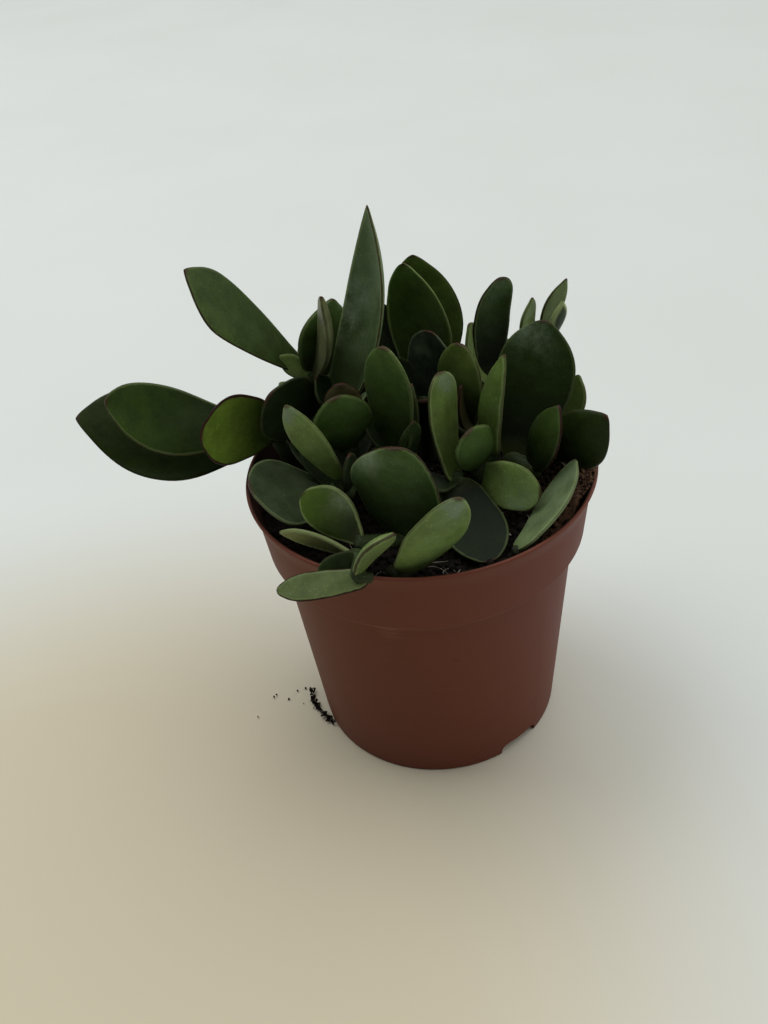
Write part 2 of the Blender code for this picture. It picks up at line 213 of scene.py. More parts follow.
def tableMaterial():
    # white lacquered board, sprayed and then matt from use: faint grey clouds, and a darker beige tone in
    # front, strongest to the front left, that is partly painted soft shadow
    material, tree = newMaterial("white lacquered tabletop")
    place = add(tree, "TexCoord", out="Object")
    cloud = add(tree, "TexNoise", {"Vector": place, "Scale": cells(table["cloud"]), "Detail": 3.0})
    dark, light = table["tints"]
    tone = add(tree, "Mix", {0: cloud, 6: linear(dark), 7: linear(light)}, out=2, data_type="RGBA")
    # painted shadow: the darker beige grows towards a point in front of the pot, to its left
    away = add(tree, "VectorMath", {0: place, 1: metres(table["beigeShadeAt"])}, out="Value", operation="DISTANCE")
    fore = add(tree, "MapRange", {
        "Value": away, "From Min": table["beigeShadeFrom"] * mm, "From Max": table["beigeShadeTo"] * mm, "To Max": 1.0},
        interpolation_type="SMOOTHSTEP")
    beigeShade = add(tree, "Mix", {0: fore, 6: tone, 7: linear(table["beigeShade"])}, out=2, data_type="RGBA")
    shader = add(tree, "BsdfPrincipled", {"Base Color": beigeShade, "Roughness": 0.7, "Specular IOR Level": 0.2})
    add(tree, "OutputMaterial", {"Surface": shader})
    return material


def makeTable():
    # one flat rectangle at the height of the pot's foot
    left, right, front, back = (table[side] for side in ("left", "right", "front", "back"))
    mesh = bpy.data.meshes.new("table")
    corners = [(left, front, 0), (right, front, 0), (right, back, 0), (left, back, 0)]
    mesh.from_pydata(corners, [], [(0, 1, 2, 3)])
    mesh.materials.append(tableMaterial())
    floor = bpy.data.objects.new("table", mesh)
    bpy.context.scene.collection.objects.link(floor)


makeTable()
print("table")


# pot

pot = {
    "height": 94.0, "wall": 1.3, "rim": 52.5, "base": 39.5, "bodyTop": 45.7,     # mm; radii are outside ones
    "collar": 22.5, "collarFoot": 48.8, "flare": 5.5, "flareFoot": 50.5,         # depths and radii
    "chamfer": 2.2, "floor": 1.5, "lipCut": 0.3, "lipDrop": 0.6,
    "notchAzimuths": (-54, 66, 186), "notchWidth": 15.0, "notchHeight": 4.0, "notchDepth": 5.0,
    "notchPower": 9, "notchFall": 0.45, "notchSteps": 17,        # the arch
    "notchUnder": 3, "notchBeyond": 5,                           # how far the cutter runs past
    "sides": 240, "sharpFrom": 50,                               # degrees
    "tints": ("#632d1b", "#6b3420"), "scuff": "#85523f", "dust": "#3a221a",
    # peat: the dark smear inside the pot, which also paints the shade on the inner wall
    "rub": "#8b5a48", "peat": "#20150f",
    "cloudSize": 36, "streakSize": (33, 33, 1.11), "dustSize": 2.4, "grainSize": 0.55,    # mm
    "rubAt": (-15.5, -44.0, 67.5), "rubFrom": 11, "rubTo": 2,
    "peatAndShadeOnLip": 0.6, "peatAndShadeCover": 0.8,
}


def softened(corners, steps=5):
    # a polyline whose corners are rounded: each corner (r, z, cut) becomes the curve
    # (1-s)^2 start + 2s(1-s) corner + s^2 end, between points that lie the cut away from it
    line = []
    for i, (r, z, cut) in enumerate(corners):
        here = np.array([r, z], float)
        if cut == 0:
            line.append(here)
            continue
        before = np.array(corners[i - 1][:2], float) - here
        after = np.array(corners[i + 1][:2], float) - here
        start = here + before / np.linalg.norm(before) * cut
        end = here + after / np.linalg.norm(after) * cut
        for s in np.linspace(0, 1, steps):
            line.append((1 - s) ** 2 * start + 2 * s * (1 - s) * here + s ** 2 * end)
    return np.array(line)


def turnedSurface(line, sides):
    # each profile point (r, z) goes round the axis in a ring; the first and last points are on the axis
    angle = 2 * np.pi * np.arange(sides) / sides
    middle = line[1:-1]
    points = np.stack([middle[:, :1] * np.cos(angle), middle[:, :1] * np.sin(angle),
                       np.repeat(middle[:, 1:], sides, 1)], -1).reshape(-1, 3)
    poles = np.array([[0, 0, line[0][1]], [0, 0, line[-1][1]]])
    return np.concatenate([points, poles]), ringFaces(len(middle), sides, 0)


def potMaterial():
    # injection-moulded polypropylene with terracotta pigment: a satin skin, faint rub marks, soil dust, and a
    # peat smear inside that also paints the inner wall's shade
    material, tree = newMaterial("terracotta pigmented polypropylene, moulded")
    place = add(tree, "TexCoord", out="Object")
    clouds = add(tree, "TexNoise", {"Vector": place, "Scale": cells(pot["cloudSize"]), "Detail": 4.0})
    dark, light = pot["tints"]
    body = add(tree, "Mix", {0: clouds, 6: linear(dark), 7: linear(light)}, out=2, data_type="RGBA")
    # level scuffs from stacking
    level = add(tree, "Mapping", {"Vector": place, "Scale": tuple(cells(size) for size in pot["streakSize"])})
    streaks = add(tree, "TexNoise", {"Vector": level, "Scale": 1.0, "Detail": 3.0})
    rubbed = add(tree, "MapRange", {"Value": streaks, "From Min": 0.62, "From Max": 0.78, "To Max": 0.16})
    scuffed = add(tree, "Mix", {0: rubbed, 6: body, 7: linear(pot["scuff"])}, out=2, data_type="RGBA")
    # specks of soil dust
    specks = add(tree, "TexNoise", {"Vector": place, "Scale": cells(pot["dustSize"]), "Detail": 2.0})
    dust = add(tree, "MapRange", {"Value": specks, "From Min": 0.70, "From Max": 0.80, "To Max": 0.5})
    dusted = add(tree, "Mix", {0: dust, 6: scuffed, 7: linear(pot["dust"])}, out=2, data_type="RGBA")
    # one rubbed spot under the collar at the front
    away = add(tree, "VectorMath", {0: place, 1: metres(pot["rubAt"])}, out="Value", operation="DISTANCE")
    spot = add(tree, "MapRange", {
        "Value": away, "From Min": pot["rubFrom"] * mm, "From Max": pot["rubTo"] * mm, "To Max": 0.9})
    wipe = add(tree, "Math", {0: streaks, 1: spot}, operation="MULTIPLY")
    wiped = add(tree, "MapRange", {"Value": wipe, "From Min": 0.30, "From Max": 0.55, "To Max": 0.45})
    marked = add(tree, "Mix", {0: wiped, 6: dusted, 7: linear(pot["rub"])}, out=2, data_type="RGBA")
    # peat smeared over the inner wall and, thinner, over the lip; on the inner wall it is painted shade as
    # well
    inside = add(tree, "Attribute", out="Fac", attribute_name="inside")
    smearAndShade = add(tree, "Math", {0: inside, 1: pot["peatAndShadeCover"]}, operation="MULTIPLY")
    smearedAndShaded = add(tree, "Mix", {0: smearAndShade, 6: marked, 7: linear(pot["peat"])}, out=2, data_type="RGBA")
    # the scuffs and the mould's fine grain are just felt, with the grain as coarse as it must be to show
    rough = add(tree, "MapRange", {"Value": clouds, "To Min": 0.55, "To Max": 0.65})
    grain = add(tree, "TexNoise", {"Vector": place, "Scale": cells(pot["grainSize"]), "Detail": 2.0})
    ridges = add(tree, "Math", {0: streaks, 1: grain}, operation="ADD")
    bump = add(tree, "Bump", {"Height": ridges, "Strength": 0.12, "Distance": 0.1 * mm})
    shader = add(tree, "BsdfPrincipled", {
        "Base Color": smearedAndShaded, "Roughness": rough, "Normal": bump, "IOR": 1.49, "Specular IOR Level": 0.3})
    add(tree, "OutputMaterial", {"Surface": shader})
    return material


def notchCutter(azimuth, material):
    # a drainage notch: a low arch, height (1 - fall |x|^power), drawn in the tangent plane and carried
    # through the foot from inside to outside
    across = np.linspace(-1, 1, pot["notchSteps"])
    top = pot["notchHeight"] * (1 - np.abs(across) ** pot["notchPower"] * pot["notchFall"])
    outline = np.stack([across * pot["notchWidth"] / 2, top], -1)
    side, under = pot["notchWidth"] / 2, -pot["notchUnder"]
    outline = np.concatenate([outline, [[side, under], [-side, under]]])
    radial = np.array([np.cos(azimuth), np.sin(azimuth)])
    tangent = np.array([-np.sin(azimuth), np.cos(azimuth)])
    corners = []
    for reach in (pot["base"] - pot["notchDepth"], pot["base"] + pot["notchBeyond"]):
        spot = radial * reach + outline[:, :1] * tangent
        corners.append(np.concatenate([spot, outline[:, 1:]], 1))
    count = len(outline)
    walls = [[i, count + i, count + (i + 1) % count, (i + 1) % count] for i in range(count)]
    walls += [list(range(count)), list(range(count, 2 * count))[::-1]]
    cutter = meshPiece("notchCutter", np.concatenate(corners), walls, material)
    cutter.data.polygons.foreach_set("use_smooth", np.zeros(len(cutter.data.polygons), bool))
    return cutter


def potProfile():
    # the moulding's profile goes under the foot, up the outside, over the lip and down the inside
    height, rim, wall, base, bodyTop = (pot[key] for key in ("height", "rim", "wall", "base", "bodyTop"))
    collarFoot, flareFoot, chamfer = pot["collarFoot"], pot["flareFoot"], pot["chamfer"]
    lipCut, lipDrop = pot["lipCut"], pot["lipDrop"]
    shoulder = height - pot["collar"]
    flare = height - pot["flare"]
    innerFloor = pot["notchHeight"] + pot["floor"]
    slope = (bodyTop - base) / shoulder
    # radius, height, and how far from the corner its rounding starts
    return softened([
        (0, 0, 0),
        (base, 0, 0.9),
        (bodyTop - slope * chamfer, shoulder - chamfer, 1.2),
        (collarFoot, shoulder + chamfer * 0.5, 0.4),
        (flareFoot, flare, 2.0),
        (rim, height - lipDrop, 0.5),
        (rim - lipCut, height, 0.25),
        (rim - wall + lipCut, height, 0.25),
        (rim - wall, height - lipDrop, 0.5),
        (flareFoot - wall, flare, 2.0),
        (collarFoot - wall, shoulder + wall, 0.3),
        (bodyTop - wall, shoulder + wall, 0.3),
        (base - wall + slope * innerFloor, innerFloor, 0.5),
        (0, innerFloor, 0),
    ])


def makePot():
    # the turned profile, with the notches cut from its foot; inside is 1 on the inner wall, less on the lip
    line = potProfile()
    points, faces = turnedSurface(line, pot["sides"])
    lip = np.flatnonzero(line[:, 1] >= pot["height"] - 0.01)
    order = np.arange(1, len(line) - 1)
    inside = np.where(order > lip.max() + 1, 1.0, np.where(order >= lip.min(), pot["peatAndShadeOnLip"], 0.0))
    inside = np.append(np.repeat(inside, pot["sides"]), [0.0, 1.0])
    skin = potMaterial()
    piece = meshPiece("potMoulding", points, faces, skin, values={"inside": inside})
    cutters = [notchCutter(azimuth, skin) for azimuth in np.radians(pot["notchAzimuths"])]
    for cutter in cutters:
        step = piece.modifiers.new("notch", "BOOLEAN")
        step.object = cutter
    seen = piece.evaluated_get(bpy.context.evaluated_depsgraph_get())
    piece.data = bpy.data.meshes.new_from_object(seen)
    piece.modifiers.clear()
    for cutter in cutters:
        bpy.data.objects.remove(cutter)
    piece.data.shade_smooth()
    piece.data.set_sharp_from_angle(angle=np.radians(pot["sharpFrom"]))
    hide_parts("pot")
    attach(piece, "root")


makePot()
print("pot")


# soil

soil = {
    "top": 86.6, "riseRight": 2.6, "gap": 0.2, "lift": 0.3,      # mm
    "meets": 0.88,                                               # share of the way from collar foot to flare
    "heap": 2.2, "heapFrom": 32, "heapOver": 14,                 # mm
    "bump": 0.5, "waves": (0.31, 0.27, 0.53, 0.44),              # mm, and radians per mm
    "grain": ((1.5, 2.6), (0.9, 1.3), (0.5, 0.7)), "sunk": 1.3,  # each size of crumb as height and width, mm
    "rings": 120, "sides": 320, "innermost": 0.01,               # share of the edge's radius
    "fade": 1.5, "fadeFrom": 0.2,                                # how the crumbs die out at the wall
    # the near-black tint and the small damp share also paint the shade that lies on the soil and its crumbs
    "tints": ("#090604", "#7a5a42"), "dampAndShade": 0.06,               # how much of the light tint damp peat shows
    "drySide": (0.96, -0.28, 0.0), "dryFrom": 34, "dryTo": 43,   # mm
    "crumbSize": 1.33, "clotSize": 3.8,                          # mm
}
lump = {"stretch": (0.55, 1.25), "dent": (0.75, 1.15)}
crumbs = {
    "count": 3600, "seed": 11, "shares": (0.35, 1.0), "power": 1.6, "sit": 0.3,
    "largest": 1.35, "inset": 1.0,                               # mm
}
heap = {
    "count": 900, "seed": 17, "sizes": (0.25, 0.65), "azimuth": -9, "spread": 21,        # mm and degrees
    "climb": (0, 0.35, 0.75, 1), "reach": (46.0, 49.0, 50.7, 52.0), "height": (90.8, 91.6, 93.6, 94.3),
    "tints": ("#24150d", "#866751"),
}
spill = {
    "count": 110, "seed": 5, "sizes": (0.25, 0.7),               # mm
    "from": 178, "turn": 23, "wander": 0.8,                      # degrees
    "reach": 44.9, "drawIn": 4.6, "power": 1.7, "scatter": 0.55, "pile": 1.1, "sit": 1.25,
    "clear": 0.02, "straySizes": (0.3, 0.5),
    "strays": ((-58.5, 0.7), (-57.6, 1.6), (-53.2, -1.1), (-64.0, -7.8), (-50.1, 2.4), (-48.0, -4.0),
               (-47.2, 3.1)),
}
perlite = {"count": 26, "seed": 23, "sizes": (0.3, 0.8), "inset": 2, "tints": ("#8d8b84", "#c9c7bf")}
rootlets = {
    "count": 46, "seed": 31,
    "lengths": (3, 8), "thick": 0.14, "above": 0.4, "inset": 3,  # mm
    "rings": 9, "bend": 2.6, "arch": (0.2, 1.6), "taper": 0.6,
    "front": ((-3.0, -41.0, 88.6), (-1.5, -39.5, 88.8), (6.6, -43.5, 88.6), (-30.0, -29.0, 88.8)),
    "frontLengths": (7.0, 5.0, 6.0, 6.0),
    "tints": ("#6f675d", "#b9b2a6"),
}


def soilHeight(x, y):
    # the level top, raised to the right and heaped there, with bumps sin(ax + 1) cos(by) + 0.6 sin(cx - dy)
    a, b, c, d = soil["waves"]
    bumps = np.sin(x * a + 1) * np.cos(y * b) + 0.6 * np.sin(x * c - y * d)
    raised = soil["top"] + soil["riseRight"] * x / pot["rim"]
    return raised + soil["heap"] * smooth((x - soil["heapFrom"]) / soil["heapOver"]) + soil["bump"] * bumps


def soilGrain(x, y):
    # three sizes of crumb added up, and sunk by their middle height
    grains = sum(high * patchNoise(x, y, wide, seed) for seed, (high, wide) in enumerate(soil["grain"], 1))
    return grains - soil["sunk"]


def soilMaterial(name, tints, dampAndShade=1.0):
    # compost as it was sieved: fibrous rough crumbs, near black where damp, a darkness that is also painted
    # shade, and brown where dry; perlite and dry rootlets take the same crumbly mottling in their own pale
    # tints
    material, tree = newMaterial(name)
    place = add(tree, "TexCoord", out="Object")
    crumb = add(tree, "TexVoronoi", {"Vector": place, "Scale": cells(soil["crumbSize"])}, out="Color")
    cloud = add(tree, "TexNoise", {
        "Vector": place, "Scale": cells(soil["clotSize"]), "Detail": 5.0, "Roughness": 0.7})
    grey = add(tree, "SeparateColor", {0: crumb})
    blend = add(tree, "Math", {0: grey, 1: cloud}, operation="MULTIPLY")
    # dry and light on the heap by the right rim, damp and darkened by painted shade elsewhere
    side = add(tree, "VectorMath", {0: place, 1: soil["drySide"]}, out="Value", operation="DOT_PRODUCT")
    dry = add(tree, "MapRange", {
        "Value": side, "From Min": soil["dryFrom"] * mm, "From Max": soil["dryTo"] * mm,
        "To Min": dampAndShade, "To Max": 1.0})
    dried = add(tree, "Math", {0: blend, 1: dry}, operation="MULTIPLY")
    dark, light = tints
    tone = add(tree, "Mix", {0: dried, 6: linear(dark), 7: linear(light)}, out=2, data_type="RGBA")
    bump = add(tree, "Bump", {"Height": cloud, "Strength": 0.7, "Distance": 0.6 * mm})
    shader = add(tree, "BsdfPrincipled", {
        "Base Color": tone, "Normal": bump, "Roughness": 0.92, "Specular IOR Level": 0.15})
    add(tree, "OutputMaterial", {"Surface": shader})
    return material


def scattered(count, seed, radius):
    # points spread evenly over a disc: the reach is the radius times the root of a random share
    random = np.random.default_rng(seed)
    reach = radius * np.sqrt(random.random(count))
    angle = 2 * np.pi * random.random(count)
    return random, reach * np.cos(angle), reach * np.sin(angle)


def lumps(centres, sizes, random):
    # a twenty-sided ball at each centre, stretched, turned and dented at random
    golden = (1 + 5 ** 0.5) / 2
    ball = np.array([(-1, golden, 0), (1, golden, 0), (-1, -golden, 0), (1, -golden, 0),
                     (0, -1, golden), (0, 1, golden), (0, -1, -golden), (0, 1, -golden),
                     (golden, 0, -1), (golden, 0, 1), (-golden, 0, -1), (-golden, 0, 1)])
    ball /= np.linalg.norm(ball[0])
    sides = np.array([(0, 11, 5), (0, 5, 1), (0, 1, 7), (0, 7, 10), (0, 10, 11),
                      (1, 5, 9), (5, 11, 4), (11, 10, 2), (10, 7, 6), (7, 1, 8),
                      (3, 9, 4), (3, 4, 2), (3, 2, 6), (3, 6, 8), (3, 8, 9),
                      (4, 9, 5), (2, 4, 11), (6, 2, 10), (8, 6, 7), (9, 8, 1)])
    count = len(centres)
    axes = np.linalg.qr(random.normal(size=(count, 3, 3)))[0]
    stretch = random.uniform(*lump["stretch"], (count, 1, 3))
    dents = random.uniform(*lump["dent"], (count, 12, 1))
    shapes = np.einsum("nij,nkj->nki", axes, ball * stretch * dents)
    shapes = shapes * sizes[:, None, None] + centres[:, None, :]
    flip = np.linalg.det(axes) < 0
    faces = np.where(flip[:, None, None], sides[None, :, ::-1], sides[None])
    faces = faces + 12 * np.arange(count)[:, None, None]
    return shapes.reshape(-1, 3), faces.reshape(-1, 3).tolist()


def fibres(starts, random, length, thick):
    # thin four-sided threads: the heading turns evenly along each, the steps add up, and the middle rises
    count, rings = len(starts), rootlets["rings"]
    heading = random.uniform(0, 2 * np.pi, count)
    bend = random.uniform(-rootlets["bend"], rootlets["bend"], count)
    step = np.linspace(0, 1, rings)
    angle = heading[:, None] + bend[:, None] * step
    reach = length[:, None] / (rings - 1)
    x = np.cumsum(np.cos(angle) * reach, 1) + starts[:, :1]
    y = np.cumsum(np.sin(angle) * reach, 1) + starts[:, 1:2]
    z = starts[:, 2:] + np.sin(step * np.pi) * random.uniform(*rootlets["arch"], (count, 1))
    middle = np.stack([x, y, z], -1)
    side = np.stack([-np.sin(angle), np.cos(angle), np.zeros_like(angle)], -1)
    rise = np.array([0, 0, 1.0])
    width = thick * (1 - rootlets["taper"] * step)[None, :, None]
    corners = [middle + side * width, middle + rise * width, middle - side * width, middle - rise * width]
    tubes = np.stack(corners, 2).reshape(count, rings * 4, 3)
    ends = np.stack([middle[:, 0], middle[:, -1]], 1)
    points = np.concatenate([tubes, ends], 1).reshape(-1, 3)
    faces = []
    for i in range(count):
        faces += ringFaces(rings, 4, i * (rings * 4 + 2))
    return points, faces


def makePlug(edge, peat):
    # the plug follows the inside of the pot; its top is the crumbly surface, smooth only at the wall
    wall, gap = pot["wall"] + soil["gap"], soil["gap"]
    shoulder = pot["height"] - pot["collar"] + pot["wall"]
    slope = (pot["bodyTop"] - pot["base"]) / (shoulder - pot["wall"])
    low = pot["notchHeight"] + pot["floor"] + soil["lift"]
    line = [(0, low), (pot["base"] + slope * low - wall, low),
            (pot["bodyTop"] - wall, shoulder), (pot["bodyTop"] - wall, shoulder + gap),
            (pot["collarFoot"] - wall, shoulder + gap)]
    line += [(edge * share, soil["top"]) for share in np.linspace(1, soil["innermost"], soil["rings"])]
    line += [(0, soil["top"])]
    points, faces = turnedSurface(np.array(line), soil["sides"])
    top = points[:, 2] > soil["top"] - 0.01
    x, y = points[top, 0], points[top, 1]
    inward = edge - np.hypot(x, y)
    points[top, 2] = soilHeight(x, y) + soilGrain(x, y) * smooth(inward / soil["fade"] + soil["fadeFrom"])
    piece = meshPiece("soilPlug", points, faces, peat)
    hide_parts("soil")
    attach(piece, "root")


def makeCrumbs(edge, peat):
    # loose crumbs all over the top, many small ones and few large ones
    random, x, y = scattered(crumbs["count"], crumbs["seed"], edge - crumbs["inset"])
    sizes = random.uniform(*crumbs["shares"], crumbs["count"]) ** crumbs["power"] * crumbs["largest"]
    centres = np.stack([x, y, soilHeight(x, y) + soilGrain(x, y) + sizes * crumbs["sit"]], -1)
    points, faces = lumps(centres, sizes, random)
    piece = meshPiece("soilCrumbs", points, faces, peat)
    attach(piece, "root")


def makeHeap():
    # dry crumbs heaped against the right wall, the topmost on the lip: the climb follows the wall's profile,
    # and is less towards both ends of the heap as 1 - side^4
    random = np.random.default_rng(heap["seed"])
    side = random.uniform(-1, 1, heap["count"])
    climb = random.random(heap["count"]) * (1 - side ** 4)
    reach = np.interp(climb, heap["climb"], heap["reach"])
    height = np.interp(climb, heap["climb"], heap["height"])
    azimuth = np.radians(heap["azimuth"] + heap["spread"] * side)
    sizes = random.uniform(*heap["sizes"], heap["count"])
    centres = np.stack([reach * np.cos(azimuth), reach * np.sin(azimuth), height], -1)
    points, faces = lumps(centres, sizes, random)
    piece = meshPiece("soilHeap", points, faces, soilMaterial("dry peat crumbs", heap["tints"]))
    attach(piece, "root")


def makeSpill(peat):
    # crumbs that ran out of the left notch: a thin crescent round its mouth, and a few stray ones
    random = np.random.default_rng(spill["seed"])
    count, strays = spill["count"], np.array(spill["strays"])
    share = random.random(count)
    azimuth = np.radians(spill["from"] + spill["turn"] * share + random.normal(0, spill["wander"], count))
    reach = spill["reach"] - spill["drawIn"] * share ** spill["power"]
    reach = reach + random.normal(0, spill["scatter"], count)
    sizes = random.uniform(*spill["sizes"], count)
    sizes = np.append(sizes, random.uniform(*spill["straySizes"], len(strays)))
    x = np.append(reach * np.cos(azimuth), strays[:, 0])
    y = np.append(reach * np.sin(azimuth), strays[:, 1])
    height = np.append(random.random(count) * spill["pile"], np.zeros(len(strays)))
    points, faces = lumps(np.stack([x, y, sizes * spill["sit"] + height], -1), sizes, random)
    points[:, 2] = np.maximum(points[:, 2], spill["clear"])
    piece = meshPiece("soilSpill", points, faces, peat)
    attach(piece, "root")


def makePerlite(edge):
    # a few pale grains that sit on top of the crumbs
    random, x, y = scattered(perlite["count"], perlite["seed"], edge - perlite["inset"])
    sizes = random.uniform(*perlite["sizes"], perlite["count"])
    points, faces = lumps(np.stack([x, y, soilHeight(x, y) + soilGrain(x, y) + sizes], -1), sizes, random)
    grains = soilMaterial("expanded perlite", perlite["tints"])
    piece = meshPiece("perliteGrains", points, faces, grains)
    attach(piece, "root")


def makeRootlets(edge):
    # threads of dry root scattered over the top, and the longer pale ones at the front
    random, x, y = scattered(rootlets["count"], rootlets["seed"], edge - rootlets["inset"])
    starts = np.stack([x, y, soilHeight(x, y) + soilGrain(x, y) + rootlets["above"]], -1)
    starts = np.concatenate([starts, rootlets["front"]])
    length = np.append(random.uniform(*rootlets["lengths"], rootlets["count"]), rootlets["frontLengths"])
    points, faces = fibres(starts, random, length, rootlets["thick"])
    threads = soilMaterial("dry root fibre", rootlets["tints"])
    piece = meshPiece("rootFibres", points, faces, threads)
    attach(piece, "root")


def makeSoil():
    # the top's edge lies on the collar's inner wall, less the gap
    edge = pot["collarFoot"] + (pot["flareFoot"] - pot["collarFoot"]) * soil["meets"]
    edge = edge - pot["wall"] - soil["gap"]
    peat = soilMaterial("peat and bark compost", soil["tints"], soil["dampAndShade"])
    makePlug(edge, peat)
    makeCrumbs(edge, peat)
    makeHeap()
    makeSpill(peat)
    makePerlite(edge)
    makeRootlets(edge)


makeSoil()
print("soil")


# leaves and stems

# a blade's form: the width of its neck and the place of its belly as shares, how far its tip is drawn out,
# how hollow its upper face is, how square its end is, how far its tip goes to one side, how plump it is,
# and its frost, a patch of thicker wax and painted highlight: place along and across, radius in mm, strength
paddle = {"neck": 0.34, "belly": 0.58, "point": 0.35, "hollow": 0.10, "square": 2.1, "corner": 0.0,
          "plump": 1.0, "frost": (1, 0, 1, 0)}
forms = {
    "paddle": paddle,
    "blunt": {**paddle, "point": 0.0},
    "lance": {**paddle, "belly": 0.42, "point": 1.0, "hollow": 0.35},
}

# a tone: the skin, then the strengths of the red margin, the pale rim, the wax bloom with painted sheen, and
# the painted shade towards the foot
tones = {
    "mid": ("#435a24", 0.4, 0.3, 0.12, 0.75),
    "deep": ("#3d5322", 0.4, 0.3, 0.12, 0.6),
    "dark": ("#293a18", 0.5, 0.1, 0.2, 0.6),
    # black: a near-black skin that paints the shade on leaves deep in the crown
    "black": ("#232f17", 0.3, 0.1, 0.1, 0.5),
    "light": ("#6b8042", 0.5, 0.5, 0.4, 0.0),
    # frosted: a pale grey-green and strong bloom, wax bloom and painted sheen together
    "frosted": ("#5f6f4a", 0.3, 0.4, 0.8, 0.1),
    "mossy": ("#2f4115", 1.2, 0.2, 0.05, 0.8),
    "khaki": ("#747a48", 0.2, 1.4, 0.2, 0.8),
    "rosy": ("#646845", 0.5, 0.2, 0.3, 0.4),
    # night and inkier: near-black skins that paint the shade on leaves deep in the crown and on a filler leaf
    "night": ("#131f0c", 0.0, 0.1, 0.0, 0.2),
    "inkier": ("#111e0a", 0.0, 0.3, 0.0, 0.2),
    "edged": ("#2b3821", 0.2, 2.5, 0.3, 0.3),
    # sunny: a light yellow-green that paints light shining through the leaf from behind
    "sunny": ("#667e2b", 2.4, 0.2, 0.1, 0.8),
    "olive": ("#43521f", 0.7, 0.3, 0.1, 0.7),
    "brown": ("#3f3a1f", 0.9, 0.0, 0.2, 0.3),
    # shade: a near-black skin for filler leaves set where there is only shade, painted shade
    "shade": ("#202a17", 0.3, 0.1, 0.1, 0.4),
    "young": ("#5c6d39", 0.8, 0.5, 0.35, 0.2),
    "outerDark": ("#222e0e", 0.5, 0.0, 0.03, 0.3),
    "outerMid": ("#2f4117", 0.7, 0.4, 0.05, 0.6),
    "outerLight": ("#3b4d20", 0.8, 0.2, 0.1, 0.3),
    "spear": ("#53673d", 0.8, 0.7, 0.4, 0.55),
    "bigDark": ("#22320e", 0.4, 0.2, 0.05, 0.92),
    "inky": ("#222b20", 0.0, 0.1, 0.5, 0.6),
    "rimPale": ("#5b693e", 1.2, 0.4, 0.2, 0.1),
    "fresh": ("#617537", 0.6, 0.7, 0.25, 0.6),
    "lime": ("#4d651c", 0.5, 1.1, 0.15, 0.85),
    "cup": ("#4f672c", 0.3, 0.4, 0.0, 0.9),
    "ember": ("#4a5c28", 0.8, 0.1, 0.05, 0.5),
    "grass": ("#51652b", 0.6, 0.5, 0.2, 0.4),
    "slate": ("#333f28", 0.3, 0.45, 0.25, 0.2),
    "fan": ("#3a4e24", 0.9, 0.5, 0.2, 0.92),
    "broad": ("#42582a", 0.9, 0.5, 0.2, 0.75),
}


def leaf(joint, form, heading, pitch, roll, length, width, arch, tone, **changes):
    # a leaf: the number of the joint it grows from, its form, its turn in degrees, its size in mm, how far
    # its midline bows down as a share of its length, its tone, and what differs from its form
    return {"joint": joint, "shape": {**forms[form], **changes}, "turn": (heading, pitch, roll),
            "length": length, "width": width, "arch": arch, "tone": tones[tone]}


